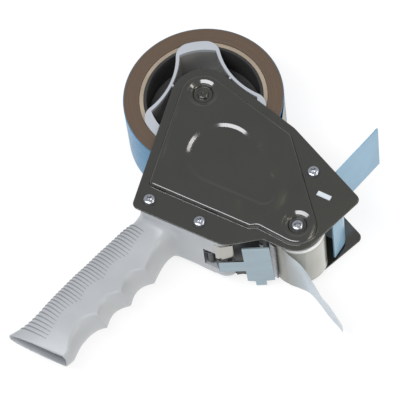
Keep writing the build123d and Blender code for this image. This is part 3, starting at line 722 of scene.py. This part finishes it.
def ribbon(bm, path, thickness, low, high, edge):
    """Bent sheet with rounded edges: a path in XY, from z = low to z = high."""
    half = thickness / 2

    def around(inset):
        ends = [path[0] + (path[1] - path[0]).normalized() * inset]
        ends.append(path[-1] + (path[-2] - path[-1]).normalized() * inset)
        line = [ends[0]] + path[1:-1] + [ends[1]]
        return offset_path(line, half - inset) + offset_path(line, inset - half)[::-1]

    profile = []
    for k in range(4):
        a = pi / 2 * k / 3
        profile.append((edge * (1 - sin(a)), edge * (1 - cos(a))))
    profile = [(i, low + z) for i, z in profile] + [(i, high - z) for i, z in profile[::-1]]
    loops = [add_loop(bm, around(inset), z) for inset, z in profile]
    for one, other in zip(loops, loops[1:]):
        bridge(bm, one, other)
    count = len(path)
    for loop in (loops[0], loops[-1]):
        for i in range(count - 1):
            bm.faces.new((loop[i], loop[i + 1], loop[2 * count - 2 - i], loop[2 * count - 1 - i]))


def tube(bm, centre, radius, low, high, hole, edge=0.25, count=40):
    profile = [(hole, low), (radius - edge, low), (radius, low + edge), (radius, high - edge),
               (radius - edge, high), (hole, high)]
    lathe(bm, centre, profile, count)


def front_flap():
    """Bent plastic flap with a rolled hem at its upper end and knuckles on its pin."""
    bm = bmesh.new()
    path = rounded(FLAP_PATH, [0, 3, 9, 0], 10, closed=False)
    first = Vector(FLAP_PATH[0])
    down = (Vector(FLAP_PATH[1]) - first).normalized()
    side = Vector((-down.y, down.x))
    fine = [first + down * k for k in (0.0, 1.2, 1.6, 2.4, 6, 12)]
    path = fine + path[1:]
    ribbon(bm, path, 1.0, -FLAP_HALF, FLAP_HALF, 0.3)
    hem = [first + down * 0.9 + side * 0.35, first + down * 2.4 + side * 0.35]
    ribbon(bm, [p - side * 0.75 for p in hem], 0.7, -FLAP_HALF + 0.2, FLAP_HALF - 0.2, 0.25)
    for low, high in KNUCKLES:
        tube(bm, FLAP_HINGE, KNUCKLE_RADIUS, low, high, KNUCKLE_BORE)
        root = [FLAP_HINGE + Vector((2.0, -0.4)), Vector(KNUCKLE_ROOT)]
        ribbon(bm, root, 2.4, low, high, 0.2)
    finish_piece("flap_sheet", bm, "flap", FLAP_PLASTIC, ["front_flap"], sharp=50)


# ------------------------------------------------------------------ threaded tape
FILM = 0.14               # drawn thickness of the tape
FILM_GAP = 0.32           # keeps the film just off the roll and the roller
LEAVE_ANGLE = 222.0       # where it leaves the roller, in degrees
TAIL_BOW = 0.9            # how far the tail bows across its width
BOW_START = 30            # the row where the bow starts
BOW_ROWS = 12             # and the rows that it grows over
TAIL_NEAR = [(33.6, -115.9), (35.8, -119.4), (38.4, -122.9), (41.7, -127.1), (44.7, -131.8),
             (48.4, -140.8), (52.1, -152.3), (56.6, -160.3), (61.1, -171.6)]
TAIL_FAR = [(33.4, -114.4), (36.9, -118.4), (42.4, -121.9), (48.0, -126.3), (52.6, -134.1),
            (57.0, -143.6), (60.2, -149.5), (62.2, -152.8), (64.2, -157.2)]


def smooth_curve(points, steps):
    """Points along a Catmull-Rom curve through the given ones."""
    ends = [points[0] * 2 - points[1]] + points + [points[-1] * 2 - points[-2]]
    out = []
    for i in range(1, len(ends) - 2):
        a, b, c, d = ends[i - 1:i + 3]
        for k in range(steps):
            t = k / steps
            out.append(((b * 2) + (c - a) * t + (a * 2 - b * 5 + c * 4 - d) * t * t
                        + (b * 3 - a - c * 3 + d) * t * t * t) / 2)
    out.append(points[-1])
    return out


def threaded_tape():
    """The tape from the roll to the roller, round it, and its twisting free end."""
    roll = ROLL_RADIUS + FILM_GAP
    small = ROLLER_RADIUS + FILM_GAP
    start = atan2(ROLLER.y, ROLLER.x) + pi / 2 - asin((roll + small) / ROLLER.length)
    off = Vector((cos(start), sin(start))) * roll
    on = ROLLER - Vector((cos(start), sin(start))) * small
    rows = []
    for k in range(13):
        point = off.lerp(on, k / 12)
        rows.append((point, point))
    last = radians(LEAVE_ANGLE)
    for k in range(1, 17):
        a = start + pi + (last - start - pi) * k / 16
        point = ROLLER + Vector((cos(a), sin(a))) * small
        rows.append((point, point))
    leave = rows[-1][0]
    near = smooth_curve([leave] + [Vector(p) for p in TAIL_NEAR], 4)
    far = smooth_curve([leave] + [Vector(p) for p in TAIL_FAR], 4)
    rows += list(zip(near, far))[1:]
    across = 14
    bm = bmesh.new()
    sheets = []
    for side in (0.5, -0.5):
        grid = []
        for i, (a, b) in enumerate(rows):
            before = rows[max(i - 1, 0)]
            after = rows[min(i + 1, len(rows) - 1)]
            ahead = ((after[0] + after[1]) - (before[0] + before[1])).normalized()
            normal = Vector((ahead.y, -ahead.x, 0))
            line = []
            for k in range(across + 1):
                t = k / across
                flat = a.lerp(b, t)
                grown = min(1.0, max(0.0, (i - BOW_START) / BOW_ROWS))
                bow = TAIL_BOW * sin(pi * t) * grown
                point = Vector((flat.x, flat.y, HALF_TAPE * (1 - 2 * t)))
                point += normal * (side * FILM - bow)
                from_roller = point.to_2d() - ROLLER
                if from_roller.length < small + side * FILM:
                    from_roller *= (small + side * FILM) / from_roller.length
                    point.xy = ROLLER + from_roller
                line.append(bm.verts.new(point))
            grid.append(line)
        sheets.append(grid)
    for grid in sheets:
        for one, other in zip(grid, grid[1:]):
            bridge(bm, one, other, closed=False)
    upper, lower = sheets
    for end in (0, -1):
        bridge(bm, upper[end], lower[end], closed=False)
    for column in (0, -1):
        bridge(bm, [line[column] for line in upper], [line[column] for line in lower],
               closed=False)
    finish_piece("tape_strip", bm, "frame", TAPE_FILM,
                 ["threaded_tape", "tape_tail"], sharp=60)


# ------------------------------------------------------------------ handle
BLOCK_OUTLINE = [(-46.3, -62.0, 5), (-19.0, -75.5, 8), (4.6, -93.5, 3), (4.6, -108.4, 3.5),
                 (-3.6, -108.7, 7), (-50.5, -76.0, 4)]
BLOCK_DOWN = Vector((-0.57, -0.82))     # out of the block's lower face
SOFT_EDGE = 9.5           # rounding of that face's far edge
GRIP_START = Vector((-45.0, -85.0))
GRIP_ANGLE = radians(219.6)
GRIP_ROWS = [             # distance along the grip, front crest line, back edge, half width
    (-12, -18.3, 19.0, 21.0), (-6, -18.3, 15.6, 18.5), (1, -18.3, 14.8, 16.2),
    (9, -18.3, 16.2, 15.0), (22, -18.3, 16.9, 14.1), (40, -18.3, 17.2, 13.8),
    (60, -18.1, 17.5, 13.4), (76, -18.2, 17.0, 12.6), (86, -18.9, 16.6, 11.2),
    (94, -19.8, 17.6, 9.4), (102, -20.4, 21.3, 7.2)]
FINGER_GROOVES = [        # start and end along the grip, skew, depth in front, depth on the face
    (-20.0, 22.4, 1.0, 4.2, 7.4), (22.4, 43.5, 1.0, 2.9, 5.5), (43.5, 64.6, 1.0, 2.9, 5.6),
    (64.6, 97.0, 0.72, 2.9, 6.4)]
GROOVE_SLANT = 0.2        # how far the grooves run down the grip for each step up
CREST_WIDTH = 3.0         # from the front of a crest back to the flat of the face
FRONT_POWER = 2.0
BACK_POWER = 3.0
GRIP_WALL = 1.3
BUTT_LEAN = radians(15.5)
BUTT_START = 80.0         # where the sections start to lean over to the butt
AROUND = 160
JOINT_CENTRE = 3.0        # where grip and block blend, measured out of the block's lower face
JOINT_REACH = 16.0
JOINT_ROOT = (-54.9, -73.4)
JOINT_FRONT = -12.0       # nothing in front of this is blended
JOINT_PASSES = 260
VOXEL = 0.5
RIB_SPAN = (4, 100)       # where the ribs start and end along the grip
RIB_PITCH = 2.48
RIB_SPREAD = radians(74)
RIB_WIDTH = 0.62
RIB_HEIGHT = 0.35
POCKET = ((-14.2, -125.0, -9.5), (-4.2, -95.6, 9.5))
SPRING_SEAT = ((4.1, -115.0, 5.3), (6.0, -96.3, 22.2))


def slope_at(column, i):
    """Slope of a column of the grip's table at row i."""
    one = GRIP_ROWS[max(i - 1, 0)]
    two = GRIP_ROWS[min(i + 1, len(GRIP_ROWS) - 1)]
    return (two[column] - one[column]) / (two[0] - one[0])


def grip_row(distance):
    """Front crest line, back edge and half width of the grip, smoothly interpolated."""
    i = 0
    while i < len(GRIP_ROWS) - 2 and distance > GRIP_ROWS[i + 1][0]:
        i += 1
    low, high = GRIP_ROWS[i], GRIP_ROWS[i + 1]
    span = high[0] - low[0]
    t = max(0.0, min(1.0, (distance - low[0]) / span))
    t2, t3 = t * t, t * t * t
    values = []
    for column in (1, 2, 3):
        values.append(low[column] * (2 * t3 - 3 * t2 + 1) + high[column] * (3 * t2 - 2 * t3)
                      + slope_at(column, i) * span * (t3 - 2 * t2 + t)
                      + slope_at(column, i + 1) * span * (t3 - t2))
    return values


def finger_depth(distance):
    """Depth of the finger groove at a distance, in front and on the face of the grip."""
    for start, end, skew, front, face in FINGER_GROOVES:
        if start <= distance < end:
            share = sin(pi * ((distance - start) / (end - start)) ** skew)
            return front * share, face * share
    return 0.0, 0.0


def grip_point(distance, angle, shrink=0.0):
    """Point on the grip's skin. An angle of 0 is its back edge, and a quarter turn faces -Z."""
    crest, back, half = grip_row(distance)
    c, s = cos(angle), sin(angle)
    power = BACK_POWER if c > 0 else FRONT_POWER
    z = -(half - shrink) * abs(s) ** (2 / power) * (1 if s > 0 else -1)
    in_front, on_face = finger_depth(distance - GROOVE_SLANT * (z - half))
    front = crest + in_front
    shoulder = crest + CREST_WIDTH + on_face
    reach = back - shoulder if c > 0 else front - shoulder
    reach -= shrink * (1 if c > 0 else -1)
    x = shoulder + reach * abs(c) ** (2 / power)
    lean = BUTT_LEAN * max(0.0, distance - BUTT_START) / (GRIP_ROWS[-1][0] - BUTT_START)
    along = Vector((cos(GRIP_ANGLE), sin(GRIP_ANGLE)))
    across = Vector((cos(GRIP_ANGLE - pi / 2 + lean), sin(GRIP_ANGLE - pi / 2 + lean)))
    flat = GRIP_START + along * distance + across * x
    return Vector((flat.x, flat.y, z))


def box_mesh(bm, low, high):
    """A closed box between two corners."""
    size = Vector(high) - Vector(low)
    middle = (Vector(high) + Vector(low)) / 2
    bmesh.ops.create_cube(bm, size=1, matrix=Matrix.Translation(middle) @ Matrix.Diagonal((*size, 1)))


def temporary(name, bm):
    """A helper object in gun coordinates, for modifiers."""
    bmesh.ops.recalc_face_normals(bm, faces=bm.faces)
    mesh = bpy.data.meshes.new(name)
    bm.to_mesh(mesh)
    bm.free()
    helper = bpy.data.objects.new(name, mesh)
    bpy.context.scene.collection.objects.link(helper)
    return helper


def grip_ribs(bm):
    """Fine ribs across the back edge of the grip, following its section."""
    points = 15
    sides = 8
    along = Vector((cos(GRIP_ANGLE), sin(GRIP_ANGLE), 0))
    first, last = RIB_SPAN
    count = int((last - first) / RIB_PITCH)
    for n in range(count):
        distance = first + n * RIB_PITCH
        rings = []
        for k in range(points):
            share = k / (points - 1)
            angle = RIB_SPREAD * (2 * share - 1)
            skin = grip_point(distance, angle)
            ahead = grip_point(distance, angle + 0.02) - grip_point(distance, angle - 0.02)
            out = along.cross(ahead).normalized()
            if out.dot(grip_point(distance, 0) - grip_point(distance, pi)) < 0:
                out.negate()
            fade = min(1.0, 3.2 * share, 3.2 * (1 - share))
            ring = []
            for j in range(sides):
                a = 2 * pi * j / sides
                ring.append(bm.verts.new(skin + along * (cos(a) * RIB_WIDTH * (0.4 + 0.6 * fade))
                                         + out * (sin(a) * (0.05 + RIB_HEIGHT * fade))))
            rings.append(ring)
        for one, other in zip(rings, rings[1:]):
            bridge(bm, one, other)
        bm.faces.new(rings[0])
        bm.faces.new(rings[-1])


def block_mesh(bm):
    """Block between the side plates, with a large rounding on the far edge of its lower face."""
    levels = []
    for k in range(9):
        a = pi / 2 * k / 8
        levels.append((SOFT_EDGE * (1 - sin(a)), -INNER + 0.05 + SOFT_EDGE * (1 - cos(a))))
    levels.append((0.0, INNER - 0.05))
    loops = []
    for lift, z in levels:
        corners = list(BLOCK_OUTLINE)
        for i in (3, 4, 5):
            x, y, radius = corners[i]
            corners[i] = (x - BLOCK_DOWN.x * lift * (i > 3), y - BLOCK_DOWN.y * lift, radius)
        loops.append(add_loop(bm, outline(corners, 0, 8), z))
    for one, other in zip(loops, loops[1:]):
        bridge(bm, one, other)
    fill(bm, loops[0])
    fill(bm, loops[-1])


def evaluated(helper):
    """The mesh of a helper object after its modifiers."""
    graph = bpy.context.evaluated_depsgraph_get()
    return bpy.data.meshes.new_from_object(helper.evaluated_get(graph))


def soften(helper, iterations, group=""):
    smooth = helper.modifiers.new("soften", "SMOOTH")
    smooth.factor = 0.5
    smooth.iterations = iterations
    smooth.vertex_group = group


def handle():
    """Moulded handle: block and grip fused and softened, pocket cut, ribs on its back edge."""
    bm = bmesh.new()
    block_mesh(bm)
    angles = [2 * pi * k / AROUND for k in range(AROUND)]
    end = GRIP_ROWS[-1][0]
    cavity = GRIP_ROWS[-4][0]
    distances = [GRIP_ROWS[0][0] + k for k in range(int(end - GRIP_ROWS[0][0]))] + [end]
    rings = [[bm.verts.new(grip_point(d, a)) for a in angles] for d in distances]
    inner = [end - k for k in range(int(end - cavity))]
    rings += [[bm.verts.new(grip_point(d, a, GRIP_WALL)) for a in angles] for d in inner]
    for one, other in zip(rings, rings[1:]):
        bridge(bm, one, other)
    bm.faces.new(rings[0])
    bm.faces.new(rings[-1])
    rough = temporary("handle_rough", bm)
    remesh = rough.modifiers.new("fuse", "REMESH")
    remesh.mode = "VOXEL"
    remesh.voxel_size = VOXEL
    soften(rough, 6)
    rough.data = evaluated(rough)
    rough.modifiers.clear()
    joint = rough.vertex_groups.new(name="joint")
    root = Vector(JOINT_ROOT)
    for vert in rough.data.vertices:
        away = (vert.co.to_2d() - root).dot(BLOCK_DOWN)
        weight = 1 - abs(away - JOINT_CENTRE) / JOINT_REACH
        if weight > 0 and vert.co.x < JOINT_FRONT:
            joint.add([vert.index], min(1.0, 1.5 * weight), "REPLACE")
    soften(rough, JOINT_PASSES, "joint")
    cut = bmesh.new()
    box_mesh(cut, *POCKET)
    box_mesh(cut, *SPRING_SEAT)
    cutter = temporary("handle_cutter", cut)
    pockets = rough.modifiers.new("pockets", "BOOLEAN")
    pockets.object = cutter
    pockets.operation = "DIFFERENCE"
    pockets.solver = "EXACT"
    bm = bmesh.new()
    bm.from_mesh(evaluated(rough))
    plain_faces = len(bm.faces)
    grip_ribs(bm)
    for helper in (rough, cutter):
        bpy.data.objects.remove(helper)
    moulding = finish_piece("handle_moulding", bm, "frame", HANDLE_PLASTIC,
                            ["handle"], sharp=45)
    # The ribs take the darker plastic: painted shade for the gaps between them.
    moulding.data.materials.append(RIB_SHADE_PLASTIC)
    for polygon in moulding.data.polygons[plain_faces:]:
        polygon.material_index = 1


# ------------------------------------------------------------------ studio
CAMERA_PLACE = (-11.7, -1052.8, 1752.9)
CAMERA_RIGHT = (0.9893, -0.1268, -0.0717)
CAMERA_UP = (0.1457, 0.8611, 0.4871)
LENS = 287.6


def studio():
    """Pale floor, soft lights and the camera."""
    scene = bpy.context.scene
    bm = bmesh.new()
    bmesh.ops.create_grid(bm, x_segments=1, y_segments=1, size=6.0)
    mesh = bpy.data.meshes.new("floor")
    bm.to_mesh(mesh)
    bm.free()
    floor = bpy.data.objects.new("floor", mesh)
    floor.location = (0, 0, -0.0002)
    paint = plain_material("floor_paint", (0.22, 0.22, 0.22), 0.9, spread=0.0, bump=0.0,
                           Emission_Color=(1, 1, 1, 1), Emission_Strength=0.80)
    mesh.materials.append(paint)
    scene.collection.objects.link(floor)
    world = bpy.data.worlds.new("studio")
    world.use_nodes = True
    background = world.node_tree.nodes["Background"]
    background.inputs["Color"].default_value = (0.96, 0.97, 1.0, 1)
    background.inputs["Strength"].default_value = 0.5
    scene.world = world
    lamps = [                 # name, place, long axis, length, width, watts, colour
        ("key", (-0.48, -0.34, 1.38), (-0.83, 0.56, 0), 1.5, 0.52, 14.5, (0.97, 0.97, 1.0)),
        ("side", (0.84, 0.12, 1.20), (0.49, 0.87, 0), 0.9, 0.06, 1.3, (0.98, 0.94, 0.98)),
        ("corner", (0.95, -0.10, 1.25), (0, 1, 0), 0.22, 0.22, 0.8, (1.0, 0.93, 0.82)),
        ("warm_fill", (1.1, -0.75, 0.6), (0, 1, 0), 0.6, 0.6, 4, (1.0, 0.90, 0.74)),
        ("glow", (0.34, 0.62, 1.5), (0, 1, 0), 0.26, 0.26, 0.28, (1.0, 0.88, 0.5)),
    ]
    for name, place, along, length, width, watts, colour in lamps:
        data = bpy.data.lights.new(name, "AREA")
        data.shape = "ELLIPSE"
        data.size = length
        data.size_y = width
        data.energy = watts
        data.color = colour
        lamp = bpy.data.objects.new(name, data)
        away = (Vector(place) - Vector((0, 0, 0.02))).normalized()
        axis = (Vector(along) - away * away.dot(Vector(along))).normalized()
        turn = Matrix((axis, away.cross(axis), away)).transposed().to_4x4()
        lamp.matrix_world = Matrix.Translation(Vector(place)) @ turn
        scene.collection.objects.link(lamp)
    data = bpy.data.cameras.new("camera")
    data.lens = LENS
    data.clip_end = 20
    camera = bpy.data.objects.new("camera", data)
    right = Vector(CAMERA_RIGHT)
    back = right.cross(Vector(CAMERA_UP)).normalized()
    up = back.cross(right).normalized()
    turn = Matrix((right, up, back)).transposed().to_4x4()
    camera.matrix_world = Matrix.Translation(GUN @ Vector(CAMERA_PLACE)) @ turn
    scene.collection.objects.link(camera)
    scene.camera = camera
    scene.view_settings.view_transform = "Standard"


shade_upper_film()
dress_cad_nodes()
side_plate("near", 1, PLATE_OUTLINE, PANEL_OUTLINE)
side_plate("far", -1, FAR_PLATE_OUTLINE, FAR_PANEL_OUTLINE)
screw_heads("near", 1)
screw_heads("far", -1)
blade_guard()
tape_roll()
paper_core()
roller()
front_flap()
threaded_tape()
handle()
studio()
